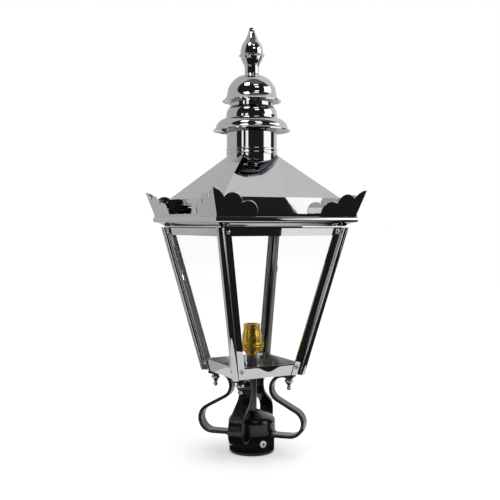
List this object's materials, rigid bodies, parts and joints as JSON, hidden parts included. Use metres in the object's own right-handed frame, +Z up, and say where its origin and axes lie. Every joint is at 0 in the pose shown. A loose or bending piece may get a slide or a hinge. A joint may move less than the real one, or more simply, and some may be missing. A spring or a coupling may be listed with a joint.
{
  "type": "post top lantern",
  "caption": "Square tapered glazed lantern on a scroll-armed cast post bracket, with a brass bayonet lampholder inside and a hinged hipped roof, chimney, domed vent and turned finial on top.",
  "frame": {"origin": "centre of the post socket's lower rim", "axes": "+Z up along the post, -Y the front, the hinges at the back on +Y"},
  "size_m": [0.3274, 0.3274, 0.848],
  "materials": {
    "stainless": "polished sheet",
    "black_casting": "semi-gloss black paint on a casting",
    "conduit": "dull drawn tube",
    "fixings": "bright machined",
    "acorn_nuts": "polished",
    "brass": "lacquered",
    "spring": "drawn wire",
    "glass": "clear",
    "rubber": "matte",
    "ceramic": "glazed white"
  },
  "bodies": {
    "lantern": {"post_bracket": "black_casting", "cable_conduit": "conduit", "conduit_locknuts": "fixings", "base_tray": "stainless", "base_bolts": "fixings", "acorn_washers": "fixings", "acorn_nuts": "acorn_nuts", "earth_terminal": "brass", "top_frame": "stainless", "glazing_strips": "rubber", "pane_clips": "fixings", "flange_screws": "fixings", "flange_washers": "fixings", "flange_nuts": "fixings", "lid_seal": "rubber", "holder_cap": "brass", "shade_rings": "brass", "holder_skirt": "brass", "holder_sleeve": "brass", "holder_insulator": "ceramic", "hinge_frame_leaves": "stainless", "hinge_pins": "fixings", "hinge_frame_rivets": "fixings", "plunger_spring_left": "spring", "plunger_spring_right": "spring", "glass_pane_right": "glass", "glass_pane_back": "glass", "glass_pane_left": "glass", "glass_pane_front": "glass", "corner_post_back_right": "stainless", "corner_post_back_left": "stainless", "corner_post_front_left": "stainless", "corner_post_front_right": "stainless"},
    "lid": {"cornice": "stainless", "roof_curb": "stainless", "roof_pyramid": "stainless", "chimney_tube": "stainless", "tube_foot_ring": "stainless", "vent_skirt": "stainless", "waist_collar": "stainless", "upper_dome": "stainless", "finial": "stainless", "hinge_lid_leaves": "stainless", "crest_rivets": "fixings", "finial_rod": "fixings", "rod_bridge": "fixings", "rod_nut": "fixings", "dome_spider": "fixings", "dome_spacer": "fixings", "hinge_lid_rivets": "fixings", "crest_back_right": "stainless", "crest_back_left": "stainless", "crest_front_left": "stainless", "crest_front_right": "stainless"},
    "clamp_right": {"clamp_screw_right": "fixings"},
    "clamp_back": {"clamp_screw_back": "fixings"},
    "clamp_left": {"clamp_screw_left": "fixings"},
    "clamp_front": {"clamp_screw_front": "fixings"},
    "plunger_left": {"contact_plunger_left": "brass"},
    "plunger_right": {"contact_plunger_right": "brass"}
  },
  "joints": [
    {"name": "lid_hinge", "type": "hinge", "parent": "lantern", "child": "lid", "pos_m": [0, 0.143, 0.4488], "axis": [-1, 0, 0], "range_deg": [0, 100]},
    {"name": "clamp_slide_right", "type": "slide", "parent": "lantern", "child": "clamp_right", "axis": [1, 0, 0], "range_m": [-0.0005, 0.005]},
    {"name": "clamp_slide_back", "type": "slide", "parent": "lantern", "child": "clamp_back", "axis": [0, 1, 0], "range_m": [-0.0005, 0.005]},
    {"name": "clamp_slide_left", "type": "slide", "parent": "lantern", "child": "clamp_left", "axis": [-1, 0, 0], "range_m": [-0.0005, 0.005]},
    {"name": "clamp_slide_front", "type": "slide", "parent": "lantern", "child": "clamp_front", "axis": [0, -1, 0], "range_m": [-0.0005, 0.005]},
    {"name": "plunger_slide_left", "type": "slide", "parent": "lantern", "child": "plunger_left", "axis": [0, 0, 1], "range_m": [-0.004, 0], "stiffness_N_per_m": 300, "springref_m": 0.002, "deforming": ["plunger_spring_left"]},
    {"name": "plunger_slide_right", "type": "slide", "parent": "lantern", "child": "plunger_right", "axis": [0, 0, 1], "range_m": [-0.004, 0], "stiffness_N_per_m": 300, "springref_m": 0.002, "deforming": ["plunger_spring_right"]}
  ]
}
